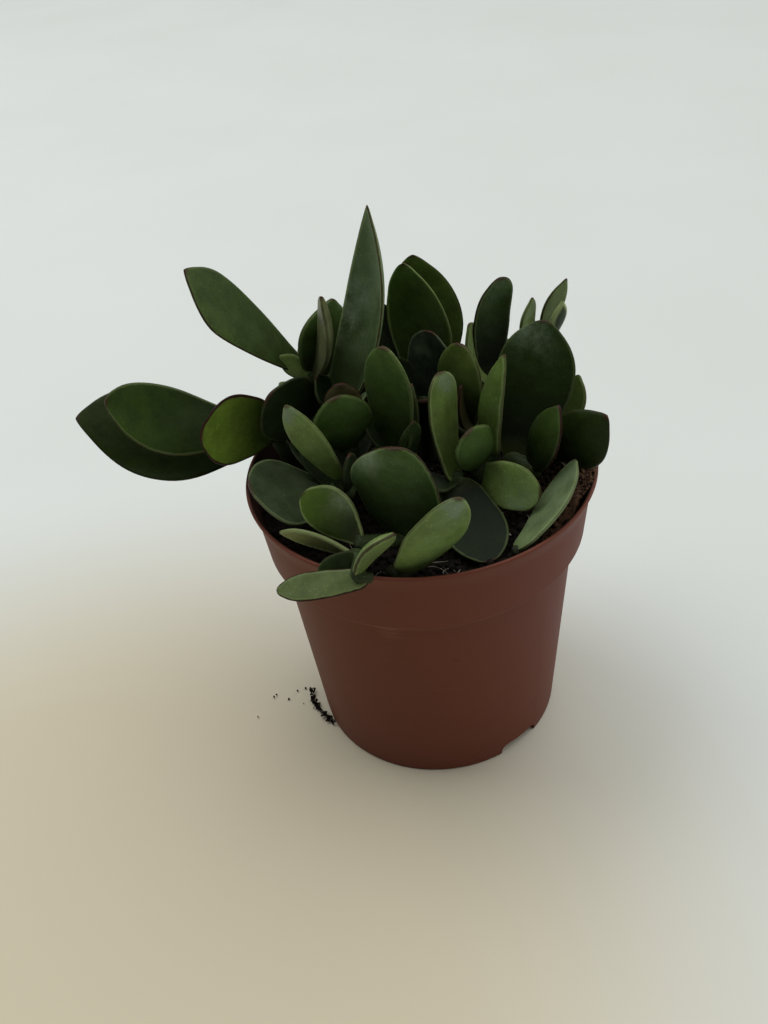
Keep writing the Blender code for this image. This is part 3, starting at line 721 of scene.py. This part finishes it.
# each shoot: the foot's x and y on the soil, the stem's radius, the joints' places and the leaves, in mm
shoots = {
    "shoot_left": {
        "foot": (-37, 11), "girth": 2.3,
        "joints": ((-42, 9, 104), (-42, 4, 109.5), (-40, 1, 112.5)),
        "leaves": (
            leaf(0, "paddle", 197, 23, -34, 58, 30, 0.12, "outerDark", point=0.75, neck=0.3),
            leaf(1, "paddle", 202, 29.5, -47, 50, 20.5, 0.17, "outerMid", neck=0.28, belly=0.61, point=0.3),
            leaf(2, "blunt", 215, 18, -88, 24.8, 21, 0.07, "sunny", neck=0.7),
            leaf(0, "paddle", 110, -5, 0, 20, 14, 0.10, "deep"),
        ),
    },
    "shoot_upper_left": {
        "foot": (-29, 14), "girth": 2.4,
        "joints": ((-30, 11, 99), (-30, 7.5, 107.5), (-28, 14, 116), (-29, 14, 120), (-28, 10, 121)),
        "leaves": (
            leaf(0, "blunt", 262, 8, -40, 18, 15, 0.05, "black"),
            leaf(0, "paddle", 120, 5, 0, 20, 13, 0.10, "deep"),
            leaf(2, "paddle", 20, 18, -30, 12, 11, 0.05, "dark"),
            leaf(1, "blunt", 229, 48, -105, 23.5, 21, 0.03, "black", neck=0.55),
            leaf(2, "paddle", 30, 70, -68, 26.5, 24, 0.02, "deep", point=0.6),
            leaf(3, "paddle", 206, 52, -43, 51, 19, 0.0, "outerLight",
                 neck=0.3, belly=0.73, point=1.0, square=2.4, corner=0.35),
            leaf(4, "paddle", 195, 47, -63, 13, 6, 0.05, "light", neck=0.6),
            leaf(4, "paddle", 299, 69, 70, 32, 13, 0.07, "rosy", point=0.8, plump=1.5),
        ),
    },
    "shoot_tall": {
        "foot": (-20, -2), "girth": 2.6,
        "joints": ((-20, -4, 97), (-20, -7, 107), (-20, -3, 111), (-22, 3, 114)),
        "leaves": (
            leaf(0, "paddle", 8, 22, 0, 18, 12, 0.08, "deep"),
            leaf(0, "paddle", 85, 30, 0, 20, 13, 0.08, "shade"),
            leaf(1, "blunt", 256, 69, 30, 23, 17.5, 0.12, "deep"),
            leaf(2, "blunt", 263, 82, 8, 16, 11, 0.05, "brown"),
            leaf(3, "paddle", 20, 55, 0, 20, 14, 0.05, "shade"),
            leaf(3, "blunt", 160, 62, 0, 11, 12, 0.05, "night"),
            leaf(3, "lance", 9, 76, 20, 60, 19, 0.11, "spear",
                 neck=0.7, belly=0.4, frost=(0.48, -1.2, 9, 3.5)),
        ),
    },
    "shoot_back_centre": {
        "foot": (4, 12), "girth": 2.6,
        "joints": ((4, 11, 102), (4.5, 13, 107)),
        "leaves": (
            leaf(1, "paddle", 91, 73, -27, 43, 24, 0.13, "ember",
                 belly=0.56, point=0.6, neck=0.5, square=2.3),
            leaf(1, "paddle", 114, 79, -64, 42, 22, 0.14, "cup", belly=0.5, neck=0.5, hollow=0.34),
            leaf(0, "blunt", 1, 85, 45, 29, 18, 0.08, "inky", frost=(0.8, -0.5, 5, 1.0)),
            leaf(0, "paddle", 165, 55, -50, 24, 16, 0.10, "shade", neck=0.6),
            leaf(0, "blunt", 265, 48, 0, 20, 18, 0.08, "shade"),
        ),
    },
    "shoot_centre": {
        "foot": (-6, -12), "girth": 2.4,
        "joints": ((-4, -14, 101), (-5, -11, 105), (-7.5, -13, 108)),
        "leaves": (
            leaf(0, "paddle", 297, 75, -172, 20, 8, 0.06, "dark"),
            leaf(1, "paddle", 21, 79, -5, 22, 10, 0.07, "dark"),
            leaf(2, "blunt", 268, 88, 141, 33.3, 15.8, 0.03, "mid", neck=0.75, plump=1.4),
            leaf(1, "blunt", 150, 55, 0, 17, 14, 0.05, "shade"),
        ),
    },
    "shoot_centre_right": {
        "foot": (9, -15), "girth": 2.4,
        "joints": ((9, -17, 98), (9, -16.5, 98.8)),
        "leaves": (
            leaf(0, "blunt", 99, 75, 41, 32, 13.7, 0.06, "fresh",
                 neck=0.55, belly=0.73, square=3.1, corner=-0.14, frost=(0.93, 0.3, 4, 2.5)),
            leaf(1, "blunt", 282, -21, 0, 28, 18, 0.05, "inkier", neck=0.6),
            leaf(0, "blunt", 205, 28, 0, 18, 14, 0.05, "shade"),
        ),
    },
    "shoot_inner_right": {
        "foot": (16, 1), "girth": 2.2,
        "joints": ((16, -2.5, 102), (16, 1.5, 104)),
        "leaves": (
            leaf(1, "blunt", 171, 86, 51, 27, 17, 0.11, "olive"),
            leaf(0, "paddle", 205, 81, -51, 19, 9, 0.05, "brown"),
            leaf(0, "paddle", 215, 50, 0, 10, 11, 0.08, "shade"),
        ),
    },
    "shoot_right": {
        "foot": (18, -10), "girth": 2.4,
        "joints": ((16.2, -14, 96.7), (16.3, -14, 101), (20, -12, 103)),
        "leaves": (
            leaf(0, "blunt", 316, 10, 73, 20.5, 14, -0.1, "light",
                 neck=0.65, square=3.1, corner=0.16, frost=(0.8, 0.5, 4, 2.0)),
            leaf(1, "blunt", 236, 67, 66, 15.6, 14, 0.15, "deep", square=3.0, neck=0.5),
            leaf(2, "paddle", 6, 81, -161, 30.5, 10.2, 0.09, "grass",
                 neck=0.86, belly=0.43, square=1.8, corner=0.11, plump=1.5),
        ),
    },
    "shoot_big_leaf": {
        "foot": (28, -10), "girth": 2.6,
        "joints": ((26, -10, 97.8), (31, -17, 99)),
        "leaves": (
            leaf(0, "paddle", 52, 59, 2, 40.5, 24.5, 0.08, "bigDark",
                 square=2.4, point=0.25, frost=(0.92, -0.25, 6, 1.8)),
            leaf(1, "paddle", 2, 70, -160, 21, 13, 0.05, "mossy",
                 plump=1.3, belly=0.48, point=0.6, neck=0.65),
        ),
    },
    "shoot_far_right": {
        "foot": (41, -3), "girth": 2.2,
        "joints": ((41, -5, 95), (42, -1, 98)),
        "leaves": (
            leaf(0, "blunt", 302, 47, -84, 28, 17.5, 0.16, "outerDark", point=0.6, corner=0.15),
            leaf(1, "paddle", 49, 56, -31, 18.5, 12, 0.08, "grass"),
        ),
    },
    "shoot_back_right": {
        "foot": (38, 18), "girth": 2.2,
        "joints": ((37, 19, 116.5), (41, 20, 117), (42, 17, 121)),
        "leaves": (
            leaf(0, "paddle", 283, 85, -139, 18, 9.5, 0.09, "light", point=0.7, neck=0.7),
            leaf(1, "paddle", 22, 68, 105, 21, 9, 0.08, "young", point=0.8, neck=0.5),
            leaf(2, "paddle", 322, 72, -14, 14, 7, 0.06, "edged", point=1.0, neck=0.5),
        ),
    },
    "shoot_back_inner": {
        "foot": (25, 20), "girth": 2.4,
        "joints": ((25, 21, 107),),
        "leaves": (
            leaf(0, "blunt", 315, 85, 158, 34, 12.5, 0.05, "fan",
                 neck=0.75, corner=0.3, square=3.6, frost=(0.93, 0.0, 4, 1.0)),
            leaf(0, "paddle", 215, 71, -59, 23, 12.5, 0.10, "light", neck=0.6),
        ),
    },
    "shoot_front_left": {
        "foot": (-23, -15), "girth": 2.4,
        "joints": ((-25, -15, 98), (-22, -20, 101), (-23, -18, 104)),
        "leaves": (
            leaf(0, "blunt", 203, 26, -22, 27, 23, 0.10, "slate"),
            leaf(1, "blunt", 309, 77, 23, 14, 9, 0.06, "shade"),
            leaf(2, "paddle", 203, 67, 40, 31, 11.3, 0.05, "light", neck=0.5, frost=(0.92, 0.1, 3, 3.5)),
            leaf(0, "blunt", 110, 65, 0, 20, 15, 0.08, "shade"),
        ),
    },
    "shoot_front": {
        "foot": (-12, -41), "girth": 2.0,
        "joints": ((-9, -44.5, 90), (-6.2, -38, 94.8), (-19, -43, 101)),
        "leaves": (
            leaf(0, "blunt", 344, 56, -53, 31.5, 18, 0.03, "light",
                 neck=0.54, belly=0.55, point=0.1, square=1.8, corner=0.23, frost=(0.93, 0.2, 3.5, 4.0)),
            leaf(1, "blunt", 190, 77, 49, 34, 25.5, -0.05, "broad",
                 square=1.9, belly=0.55, neck=0.85, corner=-0.55, frost=(0.88, 0.4, 6, 1.8)),
            leaf(2, "blunt", 145, 32, -79, 19.8, 16, 0.11, "lime", square=2.5, frost=(0.6, 0.8, 4, 2.5)),
        ),
    },
    "shoot_rim": {
        "foot": (-20, -38), "girth": 1.4,
        "joints": ((-22, -43, 97), (-20, -47, 100), (-21.3, -52.3, 98), (-18, -52.8, 97)),
        "leaves": (
            leaf(0, "paddle", 149, 4, -102, 22, 6.8, 0.05, "khaki", neck=0.5),
            leaf(3, "blunt", 168, -12, -34, 25.5, 8, 0.02, "rimPale", neck=0.7, belly=0.62),
            leaf(2, "paddle", 351, 50, 137, 17, 9, 0.08, "young", plump=1.7, point=0.7),
            leaf(1, "paddle", 172, -32, -60, 14, 7.5, 0.0, "dark", neck=0.6, point=0.6),
        ),
    },
    "shoot_back_left": {
        "foot": (-19, 31), "girth": 2.4,
        "joints": ((-19, 32, 96), (-19, 33, 102)),
        "leaves": (
            leaf(0, "paddle", 155, 14, 10, 25, 16, 0.10, "mid"),
            leaf(0, "paddle", 85, 16, 0, 30, 18, 0.10, "deep"),
            leaf(1, "paddle", 120, 22, 0, 26, 16, 0.08, "mid"),
            leaf(1, "blunt", 330, 30, 0, 13, 11, 0.06, "young"),
        ),
    },
    "shoot_back": {
        "foot": (8, 34), "girth": 2.4,
        "joints": ((7, 35, 97), (4, 37, 107)),
        "leaves": (
            leaf(0, "paddle", 15, 14, 10, 17, 12, 0.10, "deep"),
            leaf(0, "paddle", 95, 16, 0, 28, 17, 0.10, "mid"),
            leaf(1, "paddle", 100, 25, 0, 26, 17, 0.08, "mid"),
            leaf(1, "blunt", 330, 35, 0, 16, 12, 0.06, "deep"),
        ),
    },
    "shoot_back_far_right": {
        "foot": (30, 32), "girth": 2.2,
        "joints": ((30, 33, 97), (31, 34, 103)),
        "leaves": (
            leaf(0, "paddle", 345, 12, 0, 21, 14, 0.10, "mid"),
            leaf(0, "paddle", 78, 14, 0, 22, 15, 0.10, "deep"),
            leaf(1, "paddle", 40, 22, 0, 20, 13, 0.08, "mid"),
            leaf(1, "blunt", 160, 22, 0, 11, 9, 0.06, "shade"),
        ),
    },
    "shoot_middle": {
        "foot": (-8, 20), "girth": 2.4,
        "joints": ((-8, 21, 98), (-8, 22, 109)),
        "leaves": (
            leaf(0, "paddle", 215, 14, 0, 14, 11, 0.08, "shade"),
            leaf(0, "paddle", 10, 25, 10, 15, 11, 0.08, "shade"),
            leaf(1, "paddle", 100, 68, 0, 26, 19, 0.08, "shade"),
        ),
    },
    "shoot_front_right": {
        "foot": (22, -40), "girth": 1.1,
        "joints": ((22, -42, 91.2),),
        "leaves": (
            leaf(0, "paddle", 46, 24, -37, 31, 15, 0.06, "frosted", neck=0.55),
        ),
    },
}

blade = {
    "along": 44, "around": 28, "firstSeed": 101,
    "thickness": 1.6, "perWidth": 0.07, "thinning": 0.25, "thinPower": 0.4,      # mm, mm per mm of width
    "upper": 0.4, "edge": 0.78,               # share of the thickness above the rim, fullness of the section
    "risePower": 0.85, "fallPower": 0.5, "fallPoint": 0.45,      # the fall's power is more for a drawn-out tip
    "mucro": 0.5, "mucroFrom": 0.93, "mucroOver": 0.07, "sunk": 0.4,             # mm, shares of the length
    "ripple": 0.10, "rippleAlong": 8, "rippleAcross": 0.55,                      # mm, radians, per mm
    "waver": 0.012, "waverAlong": (9, 15), "footRim": 5.0,
    "shadeOver": 0.95, "shadePower": 1.5, "waxRise": 1.4, "tintSpread": (0.92, 1.08),
}
stem = {
    "sides": 14, "perJoint": 8, "low": 80.0, "clear": 2, "guide": 3,             # mm
    "runOn": 0.6, "guideOn": 0.2, "swell": 0.06, "swellReach": 1.4, "endWidth": 0.7, "endRound": 0.3,
    "green": "#2b361b", "bark": "#1f1812", "greenFrom": 16, "bloomAndSheen": 0.2,
    "rim": 9.0, "alongAt": 0.5,               # as far from any rim, foot and tip as on the middle of a blade
}
cuticle = {
    "foot": "#6f7f3e", "bloomAndSheen": "#77866a", "rim": "#8d9a68", "margin": "#2b1711", "tip": "#3a201c",
    "mottleSize": 5.3, "bloomSheenSize": 6.7, "poreSize": 1.11, "raggedSize": 2.0,    # mm
    "swellSize": 3.8, "fineSize": 0.67,
}


def bladeOutline(shape, t, slender):
    # half width along the blade, as a share: a half-round foot, times a smooth rise to the belly, times
    # the fall (1 - x^square)^power beyond it, whose powers set the tip
    foot = np.sqrt(1 - (1 - np.clip(t * slender * 2 / shape["neck"], 0, 1)) ** 2)
    rise = shape["neck"] + (1 - shape["neck"]) * smooth(t / shape["belly"]) ** blade["risePower"]
    beyond = np.clip((t - shape["belly"]) / (1 - shape["belly"]), 0, 1)
    power = blade["fallPower"] + blade["fallPoint"] * shape["point"]
    return foot * rise * (1 - beyond ** shape["square"]) ** power, beyond


def bladeAxes(heading, pitch, roll):
    # the blade's direction, its upper normal and its sideways direction
    heading, pitch, roll = np.radians([heading, pitch, roll])
    along = np.array([np.cos(pitch) * np.cos(heading), np.cos(pitch) * np.sin(heading), np.sin(pitch)])
    level = np.array([-np.sin(pitch) * np.cos(heading), -np.sin(pitch) * np.sin(heading), np.cos(pitch)])
    up = level * np.cos(roll) + np.cross(along, level) * np.sin(roll)
    return along, up, np.cross(along, up)


def bladeSurface(root, row, seed):
    # t runs along the blade and an angle runs round its lens-shaped section, cos to the side and sin^edge up;
    # the midline bows down by 4t(1-t) of the arch, and drifts aside as the square of the way past the belly
    shape, length, width = row["shape"], row["length"], row["width"]
    random = np.random.default_rng(seed)
    along, up, across = bladeAxes(*row["turn"])
    t = 0.5 - 0.5 * np.cos(np.pi * np.linspace(0, 1, blade["along"] + 2)[1:-1])
    angle = 2 * np.pi * np.arange(blade["around"]) / blade["around"]
    share, beyond = bladeOutline(shape, t, length / width)
    half = width / 2 * share
    thick = blade["thickness"] + blade["perWidth"] * width
    thick = thick * (1 - blade["thinning"] * t) * share ** blade["thinPower"] * shape["plump"]
    out = np.cos(angle)
    lift = np.sign(np.sin(angle)) * np.abs(np.sin(angle)) ** blade["edge"]
    face = np.where(lift > 0, blade["upper"], 1 - blade["upper"])
    waver = 1 + blade["waver"] * np.sin(t * random.uniform(*blade["waverAlong"]) + random.uniform(0, 6))
    centre = width / 2 * shape["corner"] * beyond ** 2
    aside = half[:, None] * waver[:, None] * out
    swell = thick[:, None] * face * lift
    phase = random.uniform(0, 6, 2)
    ripple = blade["ripple"] * np.sin(t[:, None] * blade["rippleAlong"] + phase[0] + out)
    ripple = ripple * np.sin(aside * blade["rippleAcross"] + phase[1]) * np.abs(lift)
    height = swell + shape["hollow"] * half[:, None] * out ** 2 + ripple
    reach = length * t + blade["mucro"] * smooth((t - blade["mucroFrom"]) / blade["mucroOver"])
    bow = (4 * t * (1 - t) * row["arch"] * length)[:, None]
    middle = root + along * reach[:, None] - up * bow + across * centre[:, None]
    points = middle[:, None, :] + across * aside[..., None] + up * height[..., None]
    tip = root + along * (length + blade["mucro"]) + across * width / 2 * shape["corner"]
    points = np.concatenate([points.reshape(-1, 3), [root - along * blade["sunk"], tip]])
    # what the skin needs to know: mm to the rim, the place along, the place on the flat blade
    rim = np.append(np.hypot(half[:, None] * (1 - np.abs(out)), swell).ravel(), [blade["footRim"], 0.0])
    alongAll = np.append(np.repeat(t, blade["around"]), [0.0, 1.0])
    asideAll = np.append(aside.ravel(), [0, 0])
    flat = np.stack([alongAll * length, asideAll], -1) * mm + random.random(2)
    tint, margin, pale, bloomAndSheen, shade = row["tone"]
    tint = np.array(linear(tint)[:3]) * random.uniform(*blade["tintSpread"])
    # painted shade: each blade's skin darkens towards its foot, where the crown and the leaves above it shade
    # it
    dim = 1 - shade * (1 - smooth(alongAll / blade["shadeOver"]) ** blade["shadePower"])
    # the frost patch adds thicker wax and a painted highlight; the bloom strength also paints sheen
    spot, beside, spread, strength = shape["frost"]
    away = ((alongAll - spot) * length) ** 2 + (asideAll - beside * width / 2) ** 2
    waxAndSheen = bloomAndSheen * smooth(alongAll * blade["waxRise"]) + strength * np.exp(-away / spread ** 2)
    count = len(points)
    return points, ringFaces(blade["along"], blade["around"], 0), {
        "tint": tint[None] * dim[:, None], "flat": flat, "rim": rim, "along": alongAll,
        "margin": np.full(count, margin), "pale": np.full(count, pale), "bloomAndSheen": waxAndSheen}


def stemPath(foot, surface, girth, joints):
    # a smooth cubic curve that passes through the foot and each joint, and runs on a little past the last
    x, y = foot
    low = stem["low"]
    knots = [(x, y, low - stem["guide"]), (x, y, low), (x, y, surface + stem["clear"]), *joints]
    knots = np.array(knots, float)
    last = knots[-1] - knots[-2]
    knots = np.concatenate([knots, [knots[-1] + last / np.linalg.norm(last) * girth * stem["runOn"]]])
    knots = np.concatenate([knots, [knots[-1] + last * stem["guideOn"]]])
    s = np.linspace(0, 1, stem["perJoint"], endpoint=False)[:, None]
    pieces = []
    for a, b, c, d in zip(knots, knots[1:], knots[2:], knots[3:]):
        bend, twist = 2 * a - 5 * b + 4 * c - d, 3 * b - a - 3 * c + d
        pieces.append(0.5 * (2 * b + (c - a) * s + bend * s ** 2 + twist * s ** 3))
    return np.concatenate(pieces + [knots[-2:-1]])


def stemSurface(foot, girth, joints):
    # a round tube carried along the path, swollen a little at each joint, barky at the foot and green above
    surface = float(soilHeight(np.array(foot[0]), np.array(foot[1])))
    path = stemPath(foot, surface, girth, joints)
    ahead = np.gradient(path, axis=0)
    ahead /= np.linalg.norm(ahead, axis=1)[:, None]
    side = np.cross(ahead, (0, 1, 0))
    side /= np.linalg.norm(side, axis=1)[:, None]
    front = np.cross(ahead, side)
    gaps = np.linalg.norm(path[:, None] - np.array(joints, float)[None], axis=2).min(1)
    radius = girth * (1 + stem["swell"] * np.exp(-(gaps / stem["swellReach"]) ** 2))
    radius[-1] *= stem["endWidth"]
    angle = (2 * np.pi * np.arange(stem["sides"]) / stem["sides"])[None, :, None]
    circle = side[:, None] * np.cos(angle) + front[:, None] * np.sin(angle)
    points = path[:, None] + radius[:, None, None] * circle
    end = path[-1] + ahead[-1] * girth * stem["endRound"]
    points = np.concatenate([points.reshape(-1, 3), [path[0], end]])
    climb = np.clip((points[:, 2] - surface) / stem["greenFrom"], 0, 1)[:, None]
    tint = np.array(linear(stem["bark"])[:3]) * (1 - climb) + np.array(linear(stem["green"])[:3]) * climb
    count = len(points)
    return points, ringFaces(len(path), stem["sides"], 0), {
        "tint": tint, "flat": points[:, 1:] * mm, "rim": np.full(count, stem["rim"]),
        "along": np.full(count, stem["alongAt"]), "margin": np.zeros(count), "pale": np.zeros(count),
        "bloomAndSheen": np.full(count, stem["bloomAndSheen"])}


def leafMaterial():
    # living jade-plant skin: a fleshy green under a waxy cuticle, pale pores, a red margin and a dull bloom
    # that also paints sheen
    material, tree = newMaterial("waxy succulent leaf skin")
    place = add(tree, "TexCoord", out="Object")
    tint = add(tree, "Attribute", out="Color", attribute_name="bodyTint")
    rim, along, margin, bloomAndSheen, paleness = (add(tree, "Attribute", out="Fac", attribute_name=key)
                                           for key in ("rim", "along", "margin", "bloomAndSheen", "pale"))
    # soft mottling
    patches = add(tree, "TexNoise", {
        "Vector": place, "Scale": cells(cuticle["mottleSize"]), "Detail": 4.0, "Roughness": 0.6})
    shade = add(tree, "MapRange", {
        "Value": patches, "From Min": 0.3, "From Max": 0.7, "To Min": 0.72, "To Max": 1.22})
    mottled = add(tree, "VectorMath", {0: tint, "Scale": shade}, operation="SCALE")
    # the foot of each blade is paler and yellower
    foot = add(tree, "MapRange", {
        "Value": along, "From Min": 0.02, "From Max": 0.2, "To Min": 0.10, "To Max": 0.0})
    footed = add(tree, "Mix", {0: foot, 6: mottled, 7: linear(cuticle["foot"])}, out=2, data_type="RGBA")
    # wax bloom and painted sheen: greyer and lighter in cloudy patches
    cloud = add(tree, "TexNoise", {
        "Vector": place, "Scale": cells(cuticle["bloomSheenSize"]), "Detail": 6.0, "Roughness": 0.65})
    haze = add(tree, "MapRange", {"Value": cloud, "From Min": 0.34, "From Max": 0.72, "To Max": 0.55})
    waxSheenShare = add(tree, "Math", {0: haze, 1: bloomAndSheen}, operation="MULTIPLY")
    bloomSheenMixed = add(tree, "Mix", {0: waxSheenShare, 6: footed, 7: linear(cuticle["bloomAndSheen"])}, out=2, data_type="RGBA")
    # pale pores, drawn as coarse as they need to be to show
    pores = add(tree, "TexVoronoi", {"Vector": place, "Scale": cells(cuticle["poreSize"])})
    dots = add(tree, "MapRange", {
        "Value": pores, "From Min": 0.08, "From Max": 0.22, "To Min": 1.7, "To Max": 1.0})
    dotted = add(tree, "VectorMath", {0: bloomSheenMixed, "Scale": dots}, operation="SCALE")
    # a pale rim about 1 mm wide, and on the very edge a broken dark red line about 0.5 mm wide
    ragged = add(tree, "TexNoise", {"Vector": place, "Scale": cells(cuticle["raggedSize"]), "Detail": 2.0})
    reach = add(tree, "Math", {0: ragged, 1: -0.6, 2: rim}, operation="MULTIPLY_ADD")
    spread = add(tree, "Math", {0: paleness, 1: 0.4, 2: 0.6}, operation="MULTIPLY_ADD")
    pale = add(tree, "MapRange", {
        "Value": reach, "From Min": 0.35, "From Max": spread, "To Min": 0.6, "To Max": 0.0})
    soft = add(tree, "Math", {0: pale, 1: paleness}, operation="MULTIPLY")
    paled = add(tree, "Mix", {0: soft, 6: dotted, 7: linear(cuticle["rim"])}, out=2, data_type="RGBA")
    breadth = add(tree, "Math", {0: margin, 1: 0.3, 2: 0.05}, operation="MULTIPLY_ADD")
    line = add(tree, "MapRange", {
        "Value": reach, "From Min": -0.05, "From Max": breadth, "To Min": 1.0, "To Max": 0.0})
    strong = add(tree, "Math", {0: line, 1: margin}, operation="MULTIPLY", use_clamp=True)
    lined = add(tree, "Mix", {0: strong, 6: paled, 7: linear(cuticle["margin"])}, out=2, data_type="RGBA")
    # a brown point
    tip = add(tree, "MapRange", {"Value": along, "From Min": 0.975, "From Max": 0.995, "To Max": 0.8})
    tipped = add(tree, "Mix", {0: tip, 6: lined, 7: linear(cuticle["tip"])}, out=2, data_type="RGBA")
    # gloss: clean wax is satin, bloom is duller
    rough = add(tree, "MapRange", {"Value": waxSheenShare, "From Max": 0.4, "To Min": 0.42, "To Max": 0.60})
    # skin relief: low swells and finer ones on them
    swell = add(tree, "TexNoise", {"Vector": place, "Scale": cells(cuticle["swellSize"]), "Detail": 2.0})
    fine = add(tree, "TexNoise", {"Vector": place, "Scale": cells(cuticle["fineSize"]), "Detail": 2.0})
    relief = add(tree, "Math", {0: fine, 1: 0.3, 2: swell}, operation="MULTIPLY_ADD")
    bump = add(tree, "Bump", {"Height": relief, "Strength": 0.35, "Distance": 0.5 * mm})
    shader = add(tree, "BsdfPrincipled", {
        "Base Color": tipped, "Roughness": rough, "Normal": bump, "IOR": 1.45, "Specular IOR Level": 0.11,
        "Subsurface Weight": 0.15, "Subsurface Radius": (0.6, 1.0, 0.25), "Subsurface Scale": 2 * mm})
    add(tree, "OutputMaterial", {"Surface": shader})
    return material


def makeShoots():
    # each shoot is one mesh, its stem and then its leaves one after another, and all share one skin;
    # every leaf takes the next seed
    skin = leafMaterial()
    seed = blade["firstSeed"] - 1
    for name, shoot in shoots.items():
        parts = [stemSurface(shoot["foot"], shoot["girth"], shoot["joints"])]
        for row in shoot["leaves"]:
            seed += 1
            parts.append(bladeSurface(np.array(shoot["joints"][row["joint"]], float), row, seed))
        points, faces, first = [], [], 0
        for partPoints, partFaces, _ in parts:
            points.append(partPoints)
            faces += [[corner + first for corner in face] for face in partFaces]
            first += len(partPoints)
        together = {key: np.concatenate([part[2][key] for part in parts]) for key in parts[0][2]}
        tints, flat = together.pop("tint"), together.pop("flat")
        piece = meshPiece(name + "_foliage", np.concatenate(points), faces, skin, tints=tints, flat=flat,
                          values=together)
        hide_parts(name)
        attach(piece, "root")


makeShoots()
print("leaves and stems")
